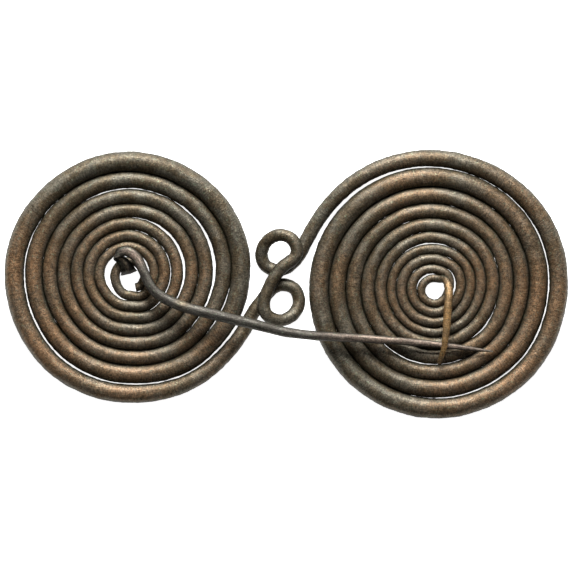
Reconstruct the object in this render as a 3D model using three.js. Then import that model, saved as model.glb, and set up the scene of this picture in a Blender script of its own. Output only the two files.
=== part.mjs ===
// A bronze spectacle fibula, the double-spiral dress brooch of the early Iron Age.
// One tapering wire is wound into two discs that a figure of eight joins, and its
// right-hand end stands up as the catch. A separate pin is curled round the inner
// turn of the left disc, crosses both discs and rests under the catch.
// Millimetres. X runs from disc to disc, Y across them, and Z is up, away from the
// show side that the brooch lies on.
import * as THREE from "three";

// ---- named sizes ----
const BED = 2.5; // height of the wire's centre line in the outer turns
const INNER_LIFT = 0.9; // the middle of each disc stands this much higher
const LIFT_RADIUS = 20; // and the lift fades out at this radius
const CLEARANCE = 0.12; // least space between one turn and the next
const TUCK_ANGLE = 60; // the wire's inner end is tucked in over this angle
const DIP_ANGLE = 60; // the outer end dips towards the figure of eight over this
const STEPS_PER_TURN = 28;
const STEP = 360 / STEPS_PER_TURN;
const SIDES = 8; // sides of the wire's section
const LOOP_WIRE = 3.0; // wire diameter in the figure of eight
const LOW = 1.65; // centre height where the wire passes underneath
const HIGH = 4.8; // centre height where it passes on top

// Each disc is wound from the inside out. gauge gives the wire's diameter at a turn
// angle, and openings are the places where a turn springs away from the one inside it:
// the turn angle at the middle, half the angle it lasts for, and its width.
const LEFT_DISC = {
  x: -39.22,
  y: 0.54,
  from: -3 * STEP,
  to: 223 * STEP,
  core: { radius: 3.88, up: 0.9, right: -0.19, oval: -0.39, tuck: 0.6, stepsOutAt: 265 },
  gauge: [
    [0, 1.95],
    [180, 2.28],
    [360, 2.22],
    [540, 2.42],
    [720, 2.89],
    [900, 2.8],
    [1080, 2.84],
    [1440, 3.15],
    [1800, 3.5],
    [2160, 3.77],
    [2430, 4.4],
    [2600, 4.98],
    [2790, 4.48],
    [2865, 3.28],
  ],
  openings: [
    [484, 159, 1.51],
    [523, 48, 0.37],
    [1083, 116, 0.29],
    [1467, 82, 0.69],
    [1807, 74, 0.1],
    [2175, 70, 0.71],
    [2504, 26, 0.29],
    [2745, 88, 0.37],
    [2839, 72, 0.39],
    [2902, 64, 1.97],
  ],
};
const RIGHT_DISC = {
  x: 36.94,
  y: -1.1,
  from: 5 * STEP,
  to: 265 * STEP,
  core: { radius: 3.2, up: -0.59, right: -0.03, oval: 0.06, tuck: 0, stepsOutAt: 335 },
  gauge: [
    [64, 1.82],
    [240, 1.9],
    [400, 2.06],
    [540, 2.42],
    [700, 2.29],
    [860, 2.61],
    [1120, 2.41],
    [1300, 2.14],
    [1480, 2.61],
    [1840, 3.22],
    [2200, 3.55],
    [2560, 3.85],
    [2920, 4.7],
    [3150, 4.86],
    [3300, 4.34],
    [3405, 3.28],
  ],
  openings: [
    [494, 80, 0.4],
    [724, 71, 0.54],
    [1536, 45, 0.38],
    [2082, 28, 0.18],
    [3230, 124, 0.27],
    [3403, 109, 0.96],
    [3441, 53, 4.2],
  ],
};
// The loops are ovals whose long axis leans at LOOP_LEAN.
const LOOP_LEAN = 45;
const LOWER_LOOP = { x: -1.4, y: -4.65, halfLong: 4.75, halfShort: 4.2 };
const UPPER_LOOP = { x: -2, y: 7.85, halfLong: 4.7, halfShort: 4.15 };

const radians = THREE.MathUtils.degToRad;
const smooth = THREE.MathUtils.smoothstep;

// The value of a stepped list of [place, value] pairs at one place.
function between(pairs, at) {
  const last = pairs.length - 1;
  if (at <= pairs[0][0]) return pairs[0][1];
  if (at >= pairs[last][0]) return pairs[last][1];
  const i = pairs.findIndex(([place]) => place > at);
  const [a, va] = pairs[i - 1];
  const [b, vb] = pairs[i];
  return va + ((vb - va) * (at - a)) / (b - a);
}

// ---- the two discs ----
function openingAt(disc, angle) {
  let width = 0;
  for (const [middle, half, most] of disc.openings) {
    const away = Math.abs(angle - middle) / half;
    if (away < 1) width += most * Math.cos((away * Math.PI) / 2) ** 2;
  }
  return width;
}

// How far a turn's centre line lies outside that of the turn inside it.
function pitchAt(disc, angle) {
  const outer = between(disc.gauge, angle);
  const inner = between(disc.gauge, angle - 360);
  return (outer + inner) / 2 + CLEARANCE + openingAt(disc, angle);
}

// The first turn is an off-centre oval. Its very end is tucked inwards, and its last
// part steps out past that end.
function coreRadius(disc, angle) {
  const { radius, up, right, oval, tuck, stepsOutAt } = disc.core;
  const end = disc.from + 360;
  const a = radians(angle);
  const drift = up * Math.sin(a) + right * Math.cos(a) + oval * Math.cos(2 * a);
  const tucked = tuck * (1 - smooth(angle, disc.from, disc.from + TUCK_ANGLE));
  const stepOut = (pitchAt(disc, end) - tuck) * smooth(angle, stepsOutAt, end);
  return radius + drift - tucked + stepOut;
}

// The disc's centre line from its inner end to its outer end.
function windDisc(disc) {
  const count = Math.round((disc.to - disc.from) / STEP);
  const radii = [];
  const stations = [];
  for (let i = 0; i <= count; i++) {
    const angle = disc.from + i * STEP;
    const inside = radii[i - STEPS_PER_TURN];
    const radius =
      inside === undefined ? coreRadius(disc, angle) : inside + pitchAt(disc, angle);
    radii.push(radius);
    const lift = INNER_LIFT * Math.max(0, 1 - (radius / LIFT_RADIUS) ** 2);
    const dip = (BED - LOW) * smooth(angle, disc.to - DIP_ANGLE, disc.to);
    stations.push({
      at: new THREE.Vector3(
        disc.x + radius * Math.cos(radians(angle)),
        disc.y + radius * Math.sin(radians(angle)),
        BED + lift - dip,
      ),
      width: between(disc.gauge, angle),
    });
  }
  return stations;
}

// ---- the figure of eight ----
function onLoop(loop, angle, z) {
  const a = radians(angle - LOOP_LEAN);
  const spot = new THREE.Vector2(loop.halfLong * Math.cos(a), loop.halfShort * Math.sin(a));
  spot.rotateAround(new THREE.Vector2(), radians(LOOP_LEAN));
  return new THREE.Vector3(loop.x + spot.x, loop.y + spot.y, z);
}

// The wire passes under the lower loop's left side, goes round it clockwise while it
// climbs, crosses to the upper loop on top, and goes round that the other way down.
function figureOfEight(start, end) {
  const knots = [start];
  for (const angle of [120, 85, 45, 0, -45, -90, -135, -180]) {
    const climb = smooth(-angle, 0, 135);
    knots.push(onLoop(LOWER_LOOP, angle, LOW + (HIGH - LOW) * climb));
  }
  knots.push(new THREE.Vector3(-2, 3.4, HIGH));
  for (const angle of [-15, 20, 60, 100, 140, 180, 225, 270, 305]) {
    const fall = smooth(angle, 20, 225);
    knots.push(onLoop(UPPER_LOOP, angle, HIGH - (HIGH - LOW) * fall));
  }
  knots.push(end);
  const curve = new THREE.CatmullRomCurve3(knots, false, "centripetal");
  return curve.getSpacedPoints(56).slice(1, -1);
}

// ---- a solid swept along stations ----
// Every station has a place, a width across and, where it differs, a depth. sideway is
// the direction of its width; without it the width lies level, across the wire's run.
function sweep(stations) {
  const count = stations.length;
  const positions = [];
  const turn = Math.PI / SIDES;
  const flat = Math.cos(turn);
  stations.forEach(({ at, width, depth = width, sideway }, i) => {
    const before = stations[Math.max(i - 1, 0)].at;
    const after = stations[Math.min(i + 1, count - 1)].at;
    const ahead = after.clone().sub(before).normalize();
    const side = sideway ? sideway.clone() : new THREE.Vector3(ahead.y, -ahead.x, 0);
    side.addScaledVector(ahead, -side.dot(ahead)).normalize();
    const up = side.clone().cross(ahead);
    for (let s = 0; s < SIDES; s++) {
      const a = turn + (2 * Math.PI * s) / SIDES;
      const p = at.clone();
      p.addScaledVector(side, (Math.cos(a) * width) / 2 / flat);
      p.addScaledVector(up, (Math.sin(a) * depth) / 2 / flat);
      positions.push(p.x, p.y, p.z);
    }
  });
  positions.push(...stations[0].at.toArray(), ...stations[count - 1].at.toArray());
  const first = count * SIDES;
  const index = [];
  for (let s = 0; s < SIDES; s++) {
    const t = (s + 1) % SIDES;
    for (let i = 0; i < count - 1; i++) {
      const a = i * SIDES;
      const b = a + SIDES;
      index.push(a + s, b + s, a + t, a + t, b + s, b + t);
    }
    const end = (count - 1) * SIDES;
    index.push(first, s, t, first + 1, end + t, end + s);
  }
  const solid = new THREE.BufferGeometry();
  solid.setAttribute("position", new THREE.Float32BufferAttribute(positions, 3));
  solid.setIndex(index);
  solid.computeVertexNormals();
  return solid;
}

// Stations along a smooth curve through rows of [x, y, z, width, depth, sidewayX,
// sidewayY]. Widths and directions are taken between the rows.
function along(rows, count) {
  const places = rows.map(([x, y, z]) => new THREE.Vector3(x, y, z));
  const curve = new THREE.CatmullRomCurve3(places, false, "centripetal");
  const stations = [];
  for (let i = 0; i <= count; i++) {
    const t = curve.getUtoTmapping(i / count);
    const row = t * (rows.length - 1);
    const value = (column) => between(rows.map((r, k) => [k, r[column]]), row);
    const station = { at: curve.getPoint(t), width: value(3), depth: value(4) };
    if (rows[0].length > 5) {
      station.sideway = new THREE.Vector3(value(5), value(6), 0);
    }
    stations.push(station);
  }
  return stations;
}

// ---- the wire: left disc, figure of eight, right disc and catch in one run ----
const leftCoil = windDisc(LEFT_DISC);
const rightCoil = windDisc(RIGHT_DISC).reverse();
const leftEnd = leftCoil[leftCoil.length - 1];
const rightEnd = rightCoil[0];
const eight = figureOfEight(leftEnd.at, rightEnd.at).map((at) => ({
  at,
  width: LOOP_WIRE,
}));

// The catch rises from the inner end of the right disc, runs across the turns and
// turns down again past the pin. Its last third is hammered thinner.
const catchRoot = rightCoil[rightCoil.length - 1].at;
const CATCH = [
  [catchRoot.x, catchRoot.y, catchRoot.z, 1.8, 1.8],
  [39.0, 1.3, 4.0, 1.9, 1.8],
  [39.95, 0.6, 5.1, 1.9, 1.7],
  [40.35, -0.9, 6.3, 1.9, 1.6],
  [40.5, -2.7, 7.1, 1.95, 1.5],
  [40.3, -5.5, 7.6, 2.05, 1.5],
  [39.95, -9.5, 7.8, 2.0, 1.4],
  [39.65, -12.8, 7.75, 1.9, 1.3],
  [39.2, -15.9, 7.55, 1.8, 1.2],
  [38.6, -18.1, 6.7, 1.6, 1.1],
  [37.9, -20.0, 5.4, 1.2, 0.9],
];
const catchHook = along(CATCH, 20).slice(1);

// ---- the pin: a round shaft to a point, its head hammered flat and curled round ----
const PIN = [
  [-39.65, 2.7, 2.3, 3.9, 0.5, 0.96, 0.28],
  [-39.8, 3.1, 3.4, 3.2, 0.55, 0.95, 0.3],
  [-40.1, 4.0, 4.75, 3.0, 0.6, 0.92, 0.4],
  [-40.7, 5.2, 5.15, 2.8, 0.6, 0.83, 0.55],
  [-41.7, 6.2, 5.2, 2.6, 0.6, 0.7, 0.7],
  [-42.5, 6.8, 5.4, 2.4, 0.65, 0.5, 0.87],
  [-42.8, 7.15, 5.9, 2.3, 0.75, 0.39, 0.92],
  [-42.4, 7.6, 6.4, 2.3, 0.9, 0.25, 0.97],
  [-41.4, 8.1, 6.7, 2.5, 1.3, 0.1, 1],
  [-39.9, 8.15, 6.85, 2.7, 1.8, 0, 1],
  [-37.6, 6.7, 7.1, 2.7, 2.1, 0.9, 0.8],
  [-35.9, 3.4, 7.5, 2.6, 2.3, 1, 0.5],
  [-33.2, -1.6, 8.1, 2.75, 2.5, 1, 0.8],
  [-27.5, -5.0, 8.8, 2.8, 2.6, 0.4, 1],
  [-18.0, -7.65, 9.2, 2.85, 2.6, 0.25, 1],
  [-7.0, -10.35, 9.0, 2.7, 2.5, 0.25, 1],
  [-0.5, -11.95, 8.7, 2.6, 2.5, 0.2, 1],
  [6.0, -12.8, 8.3, 2.5, 2.45, 0.12, 1],
  [18.0, -13.5, 7.2, 2.3, 2.25, 0.06, 1],
  [30.0, -14.4, 6.2, 2.0, 1.95, 0.06, 1],
  [39.2, -15.3, 5.75, 1.7, 1.6, 0.1, 1],
  [45.5, -16.1, 5.55, 1.3, 1.2, 0.12, 1],
  [51.5, -16.9, 5.4, 0.5, 0.5, 0.12, 1],
];

const bronze = new THREE.MeshStandardMaterial({
  color: 0x5b4a3a,
  roughness: 0.5,
  metalness: 0.85,
});
const greyBronze = new THREE.MeshStandardMaterial({
  color: 0x565049,
  roughness: 0.45,
  metalness: 0.85,
});

const wire = new THREE.Mesh(
  sweep([...leftCoil, ...eight, ...rightCoil, ...catchHook]),
  bronze,
);
wire.name = "double_spiral_wire";
const pin = new THREE.Mesh(sweep(along(PIN, 60)), greyBronze);
pin.name = "pin";

const fibula = new THREE.Group();
fibula.name = "spectacle_fibula";
fibula.add(wire, pin);

export default fibula;
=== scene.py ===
# %% [markdown]
# # A bronze spectacle fibula
#
# This dress brooch of the early Iron Age is one long tapering wire and one pin. The
# wire is wound into two discs with a figure of eight between them, and its last end
# stands up as the catch. The brooch lies on its show side, so the pin side faces up.
#
# The lesson makes both pieces in the order a smith would: a straight wire is drawn to
# its taper, its surface is worked while it is still straight, and then it is wound.

import math

import bmesh
import bpy
import numpy as np
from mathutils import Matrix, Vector


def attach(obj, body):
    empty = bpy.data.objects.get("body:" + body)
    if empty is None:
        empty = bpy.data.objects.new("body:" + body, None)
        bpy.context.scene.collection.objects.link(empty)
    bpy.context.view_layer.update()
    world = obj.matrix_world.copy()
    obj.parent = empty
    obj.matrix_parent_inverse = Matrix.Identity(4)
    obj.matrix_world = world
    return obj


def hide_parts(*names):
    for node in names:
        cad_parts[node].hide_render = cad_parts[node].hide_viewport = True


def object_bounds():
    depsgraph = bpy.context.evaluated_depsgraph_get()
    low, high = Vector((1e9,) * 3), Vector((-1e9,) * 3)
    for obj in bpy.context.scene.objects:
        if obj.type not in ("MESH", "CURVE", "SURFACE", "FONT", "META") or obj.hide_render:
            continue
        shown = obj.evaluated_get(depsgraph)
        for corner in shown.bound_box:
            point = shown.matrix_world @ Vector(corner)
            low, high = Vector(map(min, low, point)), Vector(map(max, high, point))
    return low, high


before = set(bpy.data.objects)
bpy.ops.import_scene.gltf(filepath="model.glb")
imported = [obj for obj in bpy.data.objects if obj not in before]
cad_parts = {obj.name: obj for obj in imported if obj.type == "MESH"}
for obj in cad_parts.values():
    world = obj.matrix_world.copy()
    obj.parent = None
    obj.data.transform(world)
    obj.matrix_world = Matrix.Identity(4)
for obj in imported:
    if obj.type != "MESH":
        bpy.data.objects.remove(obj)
CAD_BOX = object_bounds()
MM = 0.001
print("frame box in mm:", [[round(v / MM, 2) for v in corner] for corner in CAD_BOX])

# %% [markdown]
# ## The camera
#
# The camera looks straight down on the lying brooch. It stands high with a long lens,
# so that the discs stay round and the raised pin hardly shifts over them. The view is
# a little wider than the brooch is long.

# %% Camera straight above
CAMERA_HEIGHT = 1.2  # metres
SENSOR = 36.0  # millimetres
VIEW_MARGIN = 1.0124  # width of the view against the brooch's length
VIEW_SHIFT = Vector((-0.000375, -0.000285, 0))  # a small move of the view, in metres

low, high = CAD_BOX
view_width = (high.x - low.x) * VIEW_MARGIN
camera = bpy.data.objects.new("camera", bpy.data.cameras.new("camera"))
bpy.context.scene.collection.objects.link(camera)
middle = (low + high) / 2
camera.location = Vector((middle.x, middle.y, CAMERA_HEIGHT)) + VIEW_SHIFT
camera.data.sensor_width = SENSOR
camera.data.lens = SENSOR * (CAMERA_HEIGHT - middle.z) / view_width
camera.data.clip_start = 0.05
camera.data.clip_end = 10
bpy.context.scene.camera = camera
print("lens", round(camera.data.lens, 1), "mm, view", round(view_width / MM, 1), "mm wide")

# %% [markdown]
# ## The run of the wire
#
# Every turn of a disc leans on the turn inside it, so a turn's radius is the inner
# turn's radius, plus half of both wires, plus a small clearance and the places where
# they spring apart. The loop works from the middle outwards. All lengths are in
# millimetres until the piece is finished.
#
# A gauge row is a turn angle and the wire's diameter there. An opening row is the turn
# angle at its middle, half the angle it lasts for, and its width. An opening also moves
# every turn outside it, and a negative one takes part of such a move back. Most sizes
# are those of the solids, but some openings differ from theirs or are set here alone.
#
# The place, core, gauge and openings of each disc were found by separate fitting
# programs. Only a few rows were chosen one by one, so these lists are no example of how
# to choose sizes.

# %% Named sizes of the two discs
BED = 2.5  # height of the wire's centre line in the outer turns
INNER_LIFT = 0.9  # the middle of each disc stands this much higher
LIFT_RADIUS = 20  # and the lift fades out at this radius
CLEARANCE = 0.12  # space between turns that lie together, before they are swollen
TUCK_ANGLE = 60  # the wire's inner end is tucked in over this angle
DIP_ANGLE = 60  # its outer end dips towards the figure of eight over this
STEPS_PER_TURN = 28
STEP = 360 / STEPS_PER_TURN
LOOP_WIRE = 3.0  # wire diameter in the figure of eight
LOW = 1.65  # centre height where the wire passes underneath
HIGH = 4.8  # centre height where it passes on top

LEFT_DISC = {
    "x": -39.22,
    "y": 0.54,
    "from": -3 * STEP,
    "to": 223 * STEP,
    "core": {"radius": 3.88, "up": 0.9, "right": -0.19, "oval": -0.39, "tuck": 0.6},
    "steps_out_at": 265,
    "gauge": [
        (0, 1.95),
        (180, 2.28),
        (360, 2.22),
        (540, 2.42),
        (720, 2.89),
        (900, 2.8),
        (1080, 2.84),
        (1440, 3.15),
        (1800, 3.5),
        (2160, 3.77),
        (2430, 4.4),
        (2600, 4.98),
        (2790, 4.48),
        (2865, 3.28),
    ],
    "openings": [
        (484, 159, 1.51),
        (523, 48, 0.37),
        (1083, 116, 0.29),
        (1467, 82, 0.69),
        (1807, 74, 0.1),
        (2175, 70, 0.71),
        (2255, 36, 0.26),
        (2504, 26, 0.29),
        (2745, 88, 0.45),
        (2680, 42, 0.2),
        (2839, 72, 0.39),
        (2902, 64, 1.97),
    ],
}
RIGHT_DISC = {
    "x": 36.94,
    "y": -1.1,
    "from": 5 * STEP,
    "to": 265 * STEP,
    "core": {"radius": 3.2, "up": -0.59, "right": -0.03, "oval": 0.06, "tuck": 0},
    "steps_out_at": 335,
    "gauge": [
        (64, 1.82),
        (240, 1.9),
        (400, 2.06),
        (540, 2.42),
        (700, 2.29),
        (860, 2.61),
        (1120, 2.41),
        (1300, 2.14),
        (1480, 2.61),
        (1840, 3.22),
        (2200, 3.55),
        (2560, 3.85),
        (2920, 4.7),
        (3150, 4.86),
        (3300, 4.34),
        (3405, 3.28),
    ],
    "openings": [
        (494, 80, 0.4),
        (724, 71, 0.54),
        (1536, 50, 0.32),
        (2124, 30, 0.34),
        (2484, 30, -0.14),
        (2412, 62, 0.26),
        (2772, 62, -0.14),
        (3230, 124, 0.36),
        (3170, 50, 0.14),
        (3403, 109, 0.96),
        (3441, 53, 4.2),
    ],
}


def smooth(at, low_end, high_end):
    """0 below low_end, 1 above high_end, and an S-curve between them."""
    share = min(max((at - low_end) / (high_end - low_end), 0), 1)
    return share * share * (3 - 2 * share)


def between(pairs, at):
    """The value of a list of (place, value) pairs at one place."""
    return float(np.interp(at, [p for p, _ in pairs], [v for _, v in pairs]))


# %% Wind a disc from the middle outwards
SWELL_WIDE = 0.42  # corrosion swells the turns until they touch
SWELL_DEEP = 0.18


def opening_at(disc, angle):
    """How far the openings move a turn away from the one inside it."""
    width = 0
    for centre, half, most in disc["openings"]:
        away = abs(angle - centre) / half
        if away < 1:
            width += most * math.cos(away * math.pi / 2) ** 2
    return width


def pitch_at(disc, angle):
    """How far a turn's centre line lies outside that of the turn inside it."""
    outer = between(disc["gauge"], angle)
    inner = between(disc["gauge"], angle - 360)
    return (outer + inner) / 2 + CLEARANCE + opening_at(disc, angle)


def core_radius(disc, angle):
    """The first turn is an off-centre oval that steps out past its own tucked end."""
    core = disc["core"]
    end = disc["from"] + 360
    a = math.radians(angle)
    drift = core["up"] * math.sin(a) + core["right"] * math.cos(a)
    drift += core["oval"] * math.cos(2 * a)
    tucked = core["tuck"] * (1 - smooth(angle, disc["from"], disc["from"] + TUCK_ANGLE))
    step_out = (pitch_at(disc, end) - core["tuck"]) * smooth(angle, disc["steps_out_at"], end)
    return core["radius"] + drift - tucked + step_out


def wind_disc(disc):
    """Rows of x, y, z, width and depth along the disc's wire, from the inner end."""
    radii = []
    rows = []
    for i in range(round((disc["to"] - disc["from"]) / STEP) + 1):
        angle = disc["from"] + i * STEP
        if i < STEPS_PER_TURN:
            radius = core_radius(disc, angle)
        else:
            radius = radii[i - STEPS_PER_TURN] + pitch_at(disc, angle)
        radii.append(radius)
        lift = INNER_LIFT * max(0, 1 - (radius / LIFT_RADIUS) ** 2)
        dip = (BED - LOW) * smooth(angle, disc["to"] - DIP_ANGLE, disc["to"])
        x = disc["x"] + radius * math.cos(math.radians(angle))
        y = disc["y"] + radius * math.sin(math.radians(angle))
        width = between(disc["gauge"], angle)
        deep = width + SWELL_DEEP
        rows.append((x, y, max(BED + lift - dip, deep / 2), width + SWELL_WIDE, deep))
    return rows


# The cut end is bent towards the middle of the disc. These two stations, as x and y,
# take the place of the coil's first.
CUT_END = [(-38.1, -0.85), (-37.3, -0.65)]

left_coil = wind_disc(LEFT_DISC)
left_coil[:1] = [(x, y, *left_coil[0][2:]) for x, y in CUT_END]
right_coil = wind_disc(RIGHT_DISC)[::-1]
print("left disc", len(left_coil), "stations, right disc", len(right_coil))

# %% [markdown]
# ## The figure of eight and the catch
#
# Between the discs the wire makes two small loops. It goes under, climbs round the
# lower loop, crosses to the upper loop on top and comes down round that. The loops
# are leaning ovals, so their points come from one formula. The catch is the wire's
# other end: it rises from the middle of the right disc and turns down past the pin.

# %% Stations of the figure of eight and the catch
LOOP_LEAN = 45
LOWER_LOOP = {"x": -1.4, "y": -4.65, "half_long": 4.75, "half_short": 4.2}
UPPER_LOOP = {"x": -2, "y": 7.85, "half_long": 4.7, "half_short": 4.15}
CROSSING = (-2, 3.4)
CLIMB = (0, 135)  # clockwise angles of the lower loop between which the wire climbs
FALL = (20, 225)  # angles of the upper loop between which it comes down
LOOP_SECTION = (LOOP_WIRE + SWELL_WIDE, LOOP_WIRE + SWELL_DEEP)


def on_loop(loop, angle, z):
    lean = math.radians(LOOP_LEAN)
    a = math.radians(angle) - lean
    along = loop["half_long"] * math.cos(a)
    across = loop["half_short"] * math.sin(a)
    x = loop["x"] + along * math.cos(lean) - across * math.sin(lean)
    y = loop["y"] + along * math.sin(lean) + across * math.cos(lean)
    return (x, y, z, *LOOP_SECTION)


eight = []
for angle in (120, 85, 45, 0, -45, -90, -135, -180):
    eight.append(on_loop(LOWER_LOOP, angle, LOW + (HIGH - LOW) * smooth(-angle, *CLIMB)))
eight.append((*CROSSING, HIGH, *LOOP_SECTION))
for angle in (-15, 20, 60, 100, 140, 180, 225, 270, 305):
    eight.append(on_loop(UPPER_LOOP, angle, HIGH - (HIGH - LOW) * smooth(angle, *FALL)))

# Rows of x, y, z, width and depth from the disc's inner end to the hook's tip.
CATCH = [
    (39.0, 1.3, 4.0, 2.1, 1.8),
    (39.95, 0.6, 5.1, 2.2, 1.7),
    (40.35, -0.9, 6.3, 2.2, 1.6),
    (40.45, -2.7, 7.1, 2.25, 1.5),
    (40.2, -5.5, 7.6, 2.3, 1.5),
    (39.9, -9.5, 7.8, 2.25, 1.4),
    (39.6, -12.8, 7.75, 2.1, 1.3),
    (39.2, -15.9, 7.55, 1.8, 1.2),
    (38.6, -18.1, 6.7, 1.6, 1.1),
    (37.9, -20.0, 5.4, 1.2, 0.9),
]
wire_rows = left_coil + eight + right_coil + CATCH
print("the whole wire runs through", len(wire_rows), "stations")

# %% [markdown]
# ## A smooth run through the stations
#
# The stations are joined by a centripetal Catmull-Rom curve, which passes through
# every point and never loops at a tight corner. The curve is then cut into equal
# steps of length, so that the wire's rings are evenly spaced.


# %% Centripetal curve through rows
PER_SPAN = 12  # points between one station and the next


def curve_through(rows):
    """Many rows on a smooth curve whose first three columns are places."""
    rows = np.array(rows, dtype=float)
    places = rows[:, :3]
    first = 2 * places[0] - places[1]
    last = 2 * places[-1] - places[-2]
    p = np.vstack([first, places, last])
    knots = np.sqrt(np.linalg.norm(np.diff(p, axis=0), axis=1))
    fine = []
    for i in range(len(rows) - 1):
        p0, p1, p2, p3 = p[i : i + 4]
        d0, d1, d2 = knots[i : i + 3]
        m1 = ((p1 - p0) / d0 - (p2 - p0) / (d0 + d1) + (p2 - p1) / d1) * d1
        m2 = ((p2 - p1) / d1 - (p3 - p1) / (d1 + d2) + (p3 - p2) / d2) * d1
        for t in np.arange(PER_SPAN) / PER_SPAN:
            t2, t3 = t * t, t**3
            place = (2 * t3 - 3 * t2 + 1) * p1 + (t3 - 2 * t2 + t) * m1
            place = place + (3 * t2 - 2 * t3) * p2 + (t3 - t2) * m2
            rest = rows[i, 3:] * (1 - t) + rows[i + 1, 3:] * t
            fine.append([*place, *rest])
    fine.append(rows[-1])
    return np.array(fine)


def even_run(rows, count):
    """count + 1 rows at equal distances along the curve, and its length."""
    fine = curve_through(rows)
    steps = np.linalg.norm(np.diff(fine[:, :3], axis=0), axis=1)
    reach = np.concatenate([[0], np.cumsum(steps)])
    marks = np.linspace(0, reach[-1], count + 1)
    columns = [np.interp(marks, reach, fine[:, c]) for c in range(fine.shape[1])]
    return np.stack(columns, axis=1), reach[-1]


def soften(values, reach):
    """A mean over reach values on either side, so that a taper has no corners."""
    pad = np.pad(values, reach, mode="edge")
    return np.convolve(pad, np.ones(2 * reach + 1) / (2 * reach + 1), mode="valid")


# %% [markdown]
# ## A straight wire
#
# The wire starts as a long cylinder, as round stock starts on a bench. Its long edges
# are cut twice by the subdivide operator, which gives thousands of even rings without
# a loop cut, and the rims of both ends are bevelled a little, as a cut end is filed.


# %% Make a straight wire
def select_edges(mesh, test):
    """In edit mode, selects the edges for which test(edge) is true, and no others."""
    work = bmesh.from_edit_mesh(mesh)
    for face in work.faces:
        face.select = False
    for edge in work.edges:
        edge.select = test(edge)
    work.select_flush_mode()
    bmesh.update_edit_mesh(mesh)


LEVEL = 0.01  # an edge that climbs less than this runs round the wire


def straight_wire(name, length, sides, cuts, rim):
    """A cylinder of 1 mm radius along +Z from the origin, with many rings."""
    bpy.ops.object.select_all(action="DESELECT")
    bpy.ops.mesh.primitive_cylinder_add(
        vertices=sides, radius=1, depth=length, location=(0, 0, length / 2)
    )
    wire = bpy.context.object
    wire.name = name
    bpy.ops.object.transform_apply(location=True)
    bpy.ops.object.mode_set(mode="EDIT")
    bpy.ops.mesh.select_mode(type="EDGE")
    for count in cuts:
        select_edges(wire.data, lambda e: abs(e.verts[0].co.z - e.verts[1].co.z) > LEVEL)
        bpy.ops.mesh.subdivide(number_cuts=count - 1)
    select_edges(wire.data, lambda e: len({len(f.verts) for f in e.link_faces}) > 1)
    bpy.ops.mesh.bevel(offset=rim, segments=3, affect="EDGES")
    bpy.ops.object.mode_set(mode="OBJECT")
    return wire


def points_of(obj):
    flat = np.empty(len(obj.data.vertices) * 3)
    obj.data.vertices.foreach_get("co", flat)
    return flat.reshape(-1, 3)


def move_points(obj, points):
    obj.data.vertices.foreach_set("co", np.asarray(points, dtype=float).ravel())
    obj.data.update()


WIRE_SIDES = 24
WIRE_CUTS = (56, 56)  # the cylinder is cut into 56 parts, and each of them into 56
WIRE_SOFTENING = 12
wire_run, wire_length = even_run(wire_rows, WIRE_CUTS[0] * WIRE_CUTS[1])
for column in (3, 4):
    wire_run[:, column] = soften(wire_run[:, column], WIRE_SOFTENING)
wire = straight_wire("wound_wire", wire_length, WIRE_SIDES, WIRE_CUTS, rim=0.3)
print("wire", round(wire_length), "mm long,", len(wire.data.polygons), "faces")

# %% [markdown]
# ## Drawing the taper
#
# The wire is thickest in the outer turns and thins towards both of its ends. Each
# point keeps its place along the wire, and moves in or out until the section has the
# width and the depth of that place.

# %% Taper the straight wire
def taper(obj, run, length):
    """Gives a straight wire the widths (column 3) and depths (column 4) of a run."""
    points = points_of(obj)
    marks = np.linspace(0, length, len(run))
    width = np.interp(points[:, 2], marks, run[:, 3])
    depth = np.interp(points[:, 2], marks, run[:, 4])
    points[:, 0] *= width / 2
    points[:, 1] *= depth / 2
    move_points(obj, points)


taper(wire, wire_run, wire_length)

# %% [markdown]
# ## Working the surface
#
# Hand-drawn wire is never quite round, and two and a half thousand years in the
# ground have pitted it. Both are put into the mesh while the wire is straight, with
# Displace modifiers. Broad hammer flats and a fine grain only press inwards. Scattered
# pits press in too, and leave the skin between them up to 0.02 mm proud. What is
# smaller than a ring's spacing is left to the material.


# %% Press relief into the surface
def clouds(name, size, layers, contrast):
    texture = bpy.data.textures.new(name, "CLOUDS")
    texture.noise_scale = size
    texture.noise_depth = layers
    texture.contrast = contrast
    return texture


def press(obj, texture, depth, level=1.0):
    """Grey at level stays in place, darker grey goes inwards and lighter grey outwards."""
    bpy.ops.object.select_all(action="DESELECT")
    obj.select_set(True)
    bpy.context.view_layer.objects.active = obj
    relief = obj.modifiers.new(texture.name, "DISPLACE")
    relief.texture = texture
    relief.texture_coords = "LOCAL"
    relief.mid_level = level
    relief.strength = depth
    bpy.ops.object.modifier_apply(modifier=relief.name)


press(wire, clouds("hammer_flats", size=3.2, layers=0, contrast=1.0), depth=0.14)
press(wire, clouds("fine_grain", size=0.8, layers=1, contrast=1.4), depth=0.05)
press(wire, clouds("pits", size=1.1, layers=2, contrast=4.0), depth=0.06, level=0.7)
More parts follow.
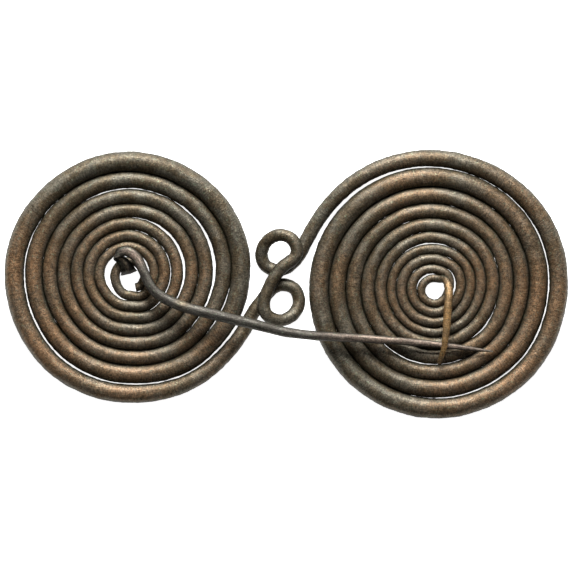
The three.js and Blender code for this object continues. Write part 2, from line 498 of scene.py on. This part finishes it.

# %% [markdown]
# ## Winding
#
# Winding moves each point from the straight wire to the run: its distance along the
# wire picks the place, and its two offsets across the wire are laid out level and
# upright there. The straight position is kept as an attribute, so that the bronze's
# grain can follow the wire round every turn. A second attribute says how near a point
# sits to the top or the bottom of the section. Both faces of a disc are worn clean
# there, and the sides, down in the creases between the turns, are painted dark:
# partly real dirt, partly painted shade.


# %% Wind a straight wire along a run
def wind(obj, run, length, sideways=None):
    """Lays a straight wire along a run, in metres, and stores both attributes."""
    points = points_of(obj)
    marks = np.linspace(0, length, len(run))
    ahead = np.gradient(run[:, :3], axis=0)
    ahead /= np.linalg.norm(ahead, axis=1)[:, None]
    if sideways is None:
        left = np.stack([-ahead[:, 1], ahead[:, 0], np.zeros(len(run))], axis=1)
    else:
        left = -np.stack([sideways[:, 0], sideways[:, 1], np.zeros(len(run))], axis=1)
    left -= ahead * np.sum(left * ahead, axis=1)[:, None]
    left /= np.linalg.norm(left, axis=1)[:, None]
    up = np.cross(ahead, left)

    def along(columns):
        return np.stack([np.interp(points[:, 2], marks, c) for c in columns.T], axis=1)

    inside = np.clip(points[:, 2], 0, length)
    spill = (points[:, 2] - inside)[:, None] * along(ahead)
    offset = along(left) * points[:, :1] + along(up) * points[:, 1:2]
    wound = along(run[:, :3]) + spill + offset
    grain = obj.data.attributes.new("grain", "FLOAT_VECTOR", "POINT")
    grain.data.foreach_set("vector", np.roll(points, 1, axis=1).ravel())
    reach = np.maximum(np.linalg.norm(offset, axis=1), 1e-3)
    height = obj.data.attributes.new("crown", "FLOAT", "POINT")
    height.data.foreach_set("value", np.abs(offset[:, 2]) / reach)
    move_points(obj, wound * MM)


SMOOTH_ANGLE = 60  # edges sharper than this stay sharp


def finish_mesh(obj):
    """Merges doubles, turns the faces outwards and shades them smooth."""
    bpy.ops.object.select_all(action="DESELECT")
    obj.select_set(True)
    bpy.context.view_layer.objects.active = obj
    bpy.ops.object.mode_set(mode="EDIT")
    bpy.ops.mesh.select_all(action="SELECT")
    bpy.ops.mesh.remove_doubles(threshold=1e-6)
    bpy.ops.mesh.normals_make_consistent(inside=False)
    bpy.ops.object.mode_set(mode="OBJECT")
    bpy.ops.object.shade_smooth_by_angle(angle=math.radians(SMOOTH_ANGLE))


wind(wire, wire_run, wire_length)
finish_mesh(wire)
print("wound wire spans", [round(v / MM, 1) for v in wire.dimensions], "mm")

# %% [markdown]
# ## The pin
#
# The pin is round for most of its length and ends in a point. Its head is hammered
# flat, bent back over the innermost turn of the left disc and dipped into the middle.
# The hammering left a raised fold along this leaf, steep on one side. Each row of the
# pin's run also names the level direction that its width lies along.

# %% Run of the pin
PIN = [
    (-39.6, 2.7, 2.3, 4.7, 0.5, 0.96, 0.28),
    (-39.7, 3.1, 3.4, 4.1, 0.55, 0.95, 0.3),
    (-40.0, 4.0, 4.75, 3.4, 0.6, 0.92, 0.4),
    (-40.7, 5.2, 5.15, 2.8, 0.6, 0.83, 0.55),
    (-41.7, 6.2, 5.2, 2.6, 0.6, 0.7, 0.7),
    (-42.5, 6.8, 5.4, 2.4, 0.65, 0.5, 0.87),
    (-42.8, 7.15, 5.9, 2.3, 0.75, 0.39, 0.92),
    (-42.4, 7.6, 6.4, 2.3, 0.9, 0.25, 0.97),
    (-41.4, 8.1, 6.7, 2.5, 1.3, 0.1, 1),
    (-39.9, 8.15, 6.85, 2.7, 1.8, 0, 1),
    (-37.6, 6.7, 7.1, 2.7, 2.1, 0.9, 0.8),
    (-35.9, 3.4, 7.5, 2.6, 2.3, 1, 0.5),
    (-33.2, -1.6, 8.1, 2.75, 2.5, 1, 0.8),
    (-27.5, -5.0, 8.8, 2.8, 2.6, 0.4, 1),
    (-18.0, -7.65, 9.2, 2.85, 2.6, 0.25, 1),
    (-7.0, -10.35, 9.0, 2.7, 2.5, 0.25, 1),
    (-0.5, -11.95, 8.7, 2.6, 2.5, 0.2, 1),
    (6.0, -12.8, 8.3, 2.5, 2.45, 0.12, 1),
    (18.0, -13.5, 7.2, 2.3, 2.25, 0.06, 1),
    (30.0, -14.4, 6.2, 2.0, 1.95, 0.06, 1),
    (39.2, -15.3, 5.75, 1.7, 1.6, 0.1, 1),
    (45.5, -16.1, 5.55, 1.3, 1.2, 0.12, 1),
    (51.5, -16.9, 5.4, 0.5, 0.5, 0.12, 1),
]
FOLD_HEIGHT = 0.4
FOLD_START = (0.1, 0.9)  # along the leaf, the fold rises over this stretch
FOLD_END = (3.0, 6.5)  # and fades out over this one
STEEP_SIDE = (-0.35, 0.1)  # across the leaf, it climbs over this stretch
GENTLE_SIDE = (0.2, 1.4)  # and sinks over this one
GENTLE_FALL = 0.75  # by this share of its height


def fold_leaf(obj):
    """Raises the upper side of the flat leaf into an off-centre fold."""
    points = points_of(obj)
    for point in points:
        x, y, z = point
        if y > 0:
            slope = smooth(-x, *STEEP_SIDE) * (1 - GENTLE_FALL * smooth(-x, *GENTLE_SIDE))
            fade = smooth(z, *FOLD_START) * (1 - smooth(z, *FOLD_END))
            point[1] += FOLD_HEIGHT * slope * fade
    move_points(obj, points)


PIN_SIDES = 32
PIN_CUTS = (25, 22)
PIN_SOFTENING = 4
pin_run, pin_length = even_run(PIN, PIN_CUTS[0] * PIN_CUTS[1])
for column in (3, 4, 5, 6):
    pin_run[:, column] = soften(pin_run[:, column], PIN_SOFTENING)
pin = straight_wire("pin_shaft", pin_length, PIN_SIDES, PIN_CUTS, rim=0.1)
taper(pin, pin_run, pin_length)
fold_leaf(pin)
print("pin", round(pin_length), "mm long,", len(pin.data.polygons), "faces")

# %% Work the pin's surface and bend it
press(pin, clouds("pin_flats", size=2.4, layers=0, contrast=1.0), depth=0.08)
press(pin, clouds("pin_grain", size=0.7, layers=1, contrast=1.4), depth=0.04)
wind(pin, pin_run, pin_length, pin_run[:, 5:7])
finish_mesh(pin)
print("pin spans", [round(v / MM, 1) for v in pin.dimensions], "mm")

# %% [markdown]
# ## Where hands rubbed the bronze, and one painted highlight
#
# Handling rubbed some places down to brown metal, and two to a golden shine: the
# catch and one place on the pin. The fold of the pin's leaf gets the same golden
# colour as a painted highlight along its ridge. Each place is made of soft round spots,
# and every point keeps how much it was rubbed, or how much highlight is painted on it,
# as an attribute that the bronze reads.

# %% Rubbed places
# A spot is x, y and radius in millimetres, and how strongly it was rubbed.
BROWN_SPOTS = [
    (-66, 4, 11, 1.0),
    (-60, -14, 13, 0.9),
    (-48, 8, 9, 0.5),
    (-27, 2, 9, 0.75),
    (-52, -3, 8, 0.7),
    (62, -4, 12, 1.0),
    (50, 2, 10, 0.8),
    (56, -20, 12, 0.9),
    (27, -4, 10, 0.55),
    (42, -26, 10, 0.6),
    (57, 18, 12, 0.5),
    (12, 2, 8, 0.5),
    (-40, -24, 10, 0.7),
    (-20, -14, 8, 0.6),
    (30, 24, 10, 0.5),
]
PIN_BROWN_SPOTS = [(24, -14, 12, 1.0), (38, -15, 10, 1.0), (-38, 7, 3, 1.0)]
CATCH_SHINE = [(39.9, -8, 5.5, 1.0), (39.2, -16, 4.5, 1.0), (40.4, -2.5, 3.5, 0.8)]
# Painted highlight: golden spots along the fold of the leaf, where light catches its ridge.
FOLD_HIGHLIGHT_LINE = [
    (-42, 6.5),
    (-41.5, 6.3),
    (-41, 6),
    (-40.6, 5.5),
    (-40.3, 5),
    (-40.1, 4.2),
    (-39.9, 3.3),
]
FOLD_HIGHLIGHT_SPOT = (0.35, 0.8)  # radius and strength of the spots along the fold
# The pin's golden spots: one worn place, and the painted highlight along the fold.
PIN_SHINE_AND_HIGHLIGHT = [(-25.8, -4.2, 1.6, 0.6), *((x, y, *FOLD_HIGHLIGHT_SPOT) for x, y in FOLD_HIGHLIGHT_LINE)]


def rub(obj, name, spots, lowest=0.0):
    """An attribute from 0 to 1 that fades out from each spot, above a height in mm."""
    points = points_of(obj) / MM
    share = np.zeros(len(points))
    for x, y, radius, most in spots:
        away = np.hypot(points[:, 0] - x, points[:, 1] - y) / radius
        share = np.maximum(share, most * np.exp(-away * away))
    share *= np.clip(points[:, 2] - lowest, 0, 1)
    layer = obj.data.attributes.new(name, "FLOAT", "POINT")
    layer.data.foreach_set("value", share)


ALL_ROUND = -1.0  # so low that the underside is rubbed as much as the top
ABOVE_THE_TURNS = 4.8  # only the raised catch shines, not the turns below it
rub(wire, "brown", BROWN_SPOTS, lowest=ALL_ROUND)
rub(wire, "golden_shine_and_highlight", CATCH_SHINE, lowest=ABOVE_THE_TURNS)
rub(pin, "brown", PIN_BROWN_SPOTS)
# On the pin the golden layer is partly a worn place and partly a painted highlight along the
# fold.
rub(pin, "golden_shine_and_highlight", PIN_SHINE_AND_HIGHLIGHT)
print("golden spots on the catch", len(CATCH_SHINE), "and on the pin", len(PIN_SHINE_AND_HIGHLIGHT))

# %% [markdown]
# ## The bronze
#
# Old bronze is dark where dirt and corrosion stayed, and brown or coppery where
# handling rubbed the crowns. The sides of the turns, down in the creases, are painted
# near black, partly as that dirt and partly as painted shade. The finish is built in
# layers: patches of colour, the golden shine (on the pin's fold a painted highlight),
# then the crease dirt and painted shade, then small spots, and last the roughness and
# the bump.


# %% A few helpers for shader nodes
def attribute(tree, name, output="Fac"):
    node = tree.nodes.new("ShaderNodeAttribute")
    node.attribute_name = name
    return node.outputs[output]


def blend_colours(tree, share, first, second, mode="MIX"):
    """Mixes two colours, each a socket or a plain RGB triple."""
    mix = tree.nodes.new("ShaderNodeMix")
    mix.data_type = "RGBA"
    mix.blend_type = mode
    for place, value in ((0, share), (6, first), (7, second)):
        if isinstance(value, bpy.types.NodeSocket):
            tree.links.new(value, mix.inputs[place])
        elif place == 0:
            mix.inputs[0].default_value = value
        else:
            mix.inputs[place].default_value = (*value, 1)
    return mix.outputs[2]


def ramp(tree, value, low_end, high_end, to_low=0.0, to_high=1.0):
    """Maps a value smoothly from one range to another."""
    node = tree.nodes.new("ShaderNodeMapRange")
    node.interpolation_type = "SMOOTHSTEP"
    tree.links.new(value, node.inputs["Value"])
    node.inputs["From Min"].default_value = low_end
    node.inputs["From Max"].default_value = high_end
    node.inputs["To Min"].default_value = to_low
    node.inputs["To Max"].default_value = to_high
    return node.outputs["Result"]


def maths(tree, operation, *values):
    """A maths node over sockets or plain numbers."""
    node = tree.nodes.new("ShaderNodeMath")
    node.operation = operation
    for place, value in enumerate(values):
        if isinstance(value, bpy.types.NodeSocket):
            tree.links.new(value, node.inputs[place])
        else:
            node.inputs[place].default_value = value
    return node.outputs[0]


def speckle(tree, vector, scale, detail=3, rough=0.6, stretch=(1, 1, 1)):
    """Noise over a vector that may be stretched, as a value from 0 to 1."""
    mapping = tree.nodes.new("ShaderNodeMapping")
    mapping.inputs["Scale"].default_value = stretch
    tree.links.new(vector, mapping.inputs["Vector"])
    node = tree.nodes.new("ShaderNodeTexNoise")
    node.inputs["Scale"].default_value = scale
    node.inputs["Detail"].default_value = detail
    node.inputs["Roughness"].default_value = rough
    tree.links.new(mapping.outputs[0], node.inputs["Vector"])
    return node.outputs["Fac"]


# %% The patinated bronze
VERDIGRIS = (0.10, 0.13, 0.085)


def patina(name, umber, warm, grey, crease_dirt_and_shade, streak, dullness, shine_and_highlight_colour):
    """A dark bronze with warm crowns, grey patches, golden rubbed places and painted highlights,
    and creases darkened by dirt and painted shade.
    """
    material = bpy.data.materials.new(name)
    material.use_nodes = True
    tree = material.node_tree
    shader = tree.nodes["Principled BSDF"]
    grain = attribute(tree, "grain", "Vector")
    crown = attribute(tree, "crown")
    brown = attribute(tree, "brown")
    golden_shine_and_highlight = attribute(tree, "golden_shine_and_highlight")

    cloudy = speckle(tree, grain, 0.35, 5, 0.65, (0.5, 1, 1))
    mottle = speckle(tree, grain, 1.1, 5, 0.75)
    fine = speckle(tree, grain, 3.2, 3, 0.7)
    streaks = speckle(tree, grain, 3.0, 3, 0.6, streak)
    colour = blend_colours(tree, ramp(tree, cloudy, 0.4, 0.6), umber, grey)

    worn = maths(tree, "MULTIPLY", ramp(tree, crown, 0.35, 0.95), brown)
    worn = maths(tree, "ADD", worn, maths(tree, "MULTIPLY", ramp(tree, mottle, 0.5, 0.62), 0.08))
    worn = maths(tree, "MULTIPLY", worn, ramp(tree, mottle, 0.36, 0.56, 0.45, 1.0))
    colour = blend_colours(tree, maths(tree, "MINIMUM", worn, 1.0), colour, warm)
    # Golden shine where the bronze was rubbed, and on the pin's fold a painted highlight.
    shine_and_highlight = maths(tree, "MULTIPLY", golden_shine_and_highlight, ramp(tree, mottle, 0.3, 0.5, 0.55, 1.0))
    colour = blend_colours(tree, shine_and_highlight, colour, shine_and_highlight_colour)
    # Crease dirt and painted shade: the sides of every wire, down in the creases, turn near
    # black.
    dirt_and_painted_shade = ramp(tree, crown, 0.08, 0.7, 1.0, 0.0)
    dirt_and_painted_shade = maths(tree, "MULTIPLY", dirt_and_painted_shade, maths(tree, "SUBTRACT", 1.0, golden_shine_and_highlight))
    colour = blend_colours(tree, dirt_and_painted_shade, colour, crease_dirt_and_shade)
    bloom = ramp(tree, speckle(tree, grain, 1.9, 2, 0.5), 0.6, 0.72, 0.0, 0.55)
    colour = blend_colours(tree, bloom, colour, VERDIGRIS)
    shade = ramp(tree, fine, 0.3, 0.7, 0.5, 1.5)
    shade = maths(tree, "MULTIPLY", shade, ramp(tree, streaks, 0.3, 0.7, 0.6, 1.4))
    brighten = tree.nodes.new("ShaderNodeVectorMath")
    brighten.operation = "SCALE"
    tree.links.new(colour, brighten.inputs[0])
    tree.links.new(shade, brighten.inputs["Scale"])
    tree.links.new(brighten.outputs[0], shader.inputs["Base Color"])

    shader.inputs["Metallic"].default_value = 0.5
    shader.inputs["Specular Tint"].default_value = (0.5, 0.48, 0.45, 1)
    tree.links.new(ramp(tree, mottle, 0.3, 0.7, *dullness), shader.inputs["Roughness"])
    height = maths(tree, "MULTIPLY_ADD", streaks, 0.5, fine)
    bump = tree.nodes.new("ShaderNodeBump")
    bump.inputs["Strength"].default_value = 0.7
    bump.inputs["Distance"].default_value = 0.00014
    tree.links.new(height, bump.inputs["Height"])
    tree.links.new(bump.outputs[0], shader.inputs["Normal"])
    return material


wire_bronze = patina(
    "wire_bronze",
    umber=(0.056, 0.043, 0.026),
    warm=(0.150, 0.085, 0.043),
    grey=(0.072, 0.065, 0.049),
    crease_dirt_and_shade=(0.0075, 0.007, 0.0022),
    streak=(1, 0.35, 0.35),
    dullness=(0.29, 0.5),
    shine_and_highlight_colour=(0.205, 0.120, 0.048),
)
pin_bronze = patina(
    "pin_bronze",
    umber=(0.037, 0.033, 0.027),
    warm=(0.165, 0.122, 0.095),
    grey=(0.052, 0.048, 0.041),
    crease_dirt_and_shade=(0.014, 0.012, 0.008),
    streak=(0.1, 1, 1),
    dullness=(0.38, 0.55),
    shine_and_highlight_colour=(0.165, 0.125, 0.075),
)
for piece, finish_material in ((wire, wire_bronze), (pin, pin_bronze)):
    piece.data.materials.clear()
    piece.data.materials.append(finish_material)

# %% Take the places of the plain solids
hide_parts("double_spiral_wire")
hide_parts("pin")
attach(wire, "root")
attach(pin, "root")

# %% [markdown]
# ## Floor and light
#
# The floor is a plain pale sheet that glows a little, as paper on a light table does,
# so the brooch casts no grey on it. The main light is a soft box beyond the top edge
# of the brooch, about 35 degrees up, which draws a bright line along each turn and a
# soft shadow under the pin. A wide overhead box and the dim room fill the rest. The
# plain view transform keeps the bronze as dark as its own colours.

# %% Floor
bpy.ops.object.select_all(action="DESELECT")
bpy.ops.mesh.primitive_plane_add(size=4, location=(0, 0, 0))
floor = bpy.context.object
floor.name = "floor"
paper = bpy.data.materials.new("paper")
paper.use_nodes = True
paper_shader = paper.node_tree.nodes["Principled BSDF"]
paper_shader.inputs["Base Color"].default_value = (0.9, 0.9, 0.89, 1)
paper_shader.inputs["Roughness"].default_value = 0.9
paper_shader.inputs["Emission Color"].default_value = (1, 1, 1, 1)
paper_shader.inputs["Emission Strength"].default_value = 1.0
floor.data.materials.append(paper)


# %% Lights
def soft_box(name, place, size, power):
    """A square area light at a place, aimed at the brooch."""
    light = bpy.data.lights.new(name, "AREA")
    light.shape = "SQUARE"
    light.size = size
    light.energy = power
    box = bpy.data.objects.new(name, light)
    bpy.context.scene.collection.objects.link(box)
    box.location = place
    box.rotation_euler = (-Vector(place)).to_track_quat("-Z", "Y").to_euler()


soft_box("key", (0.0, 0.65, 0.46), 0.42, 22.0)
soft_box("overhead", (0.0, 0.25, 1.1), 0.4, 1.5)
world = bpy.data.worlds.new("room")
world.use_nodes = True
world.node_tree.nodes["Background"].inputs["Color"].default_value = (1, 1, 1, 1)
world.node_tree.nodes["Background"].inputs["Strength"].default_value = 0.05
bpy.context.scene.world = world
bpy.context.scene.view_settings.view_transform = "Standard"
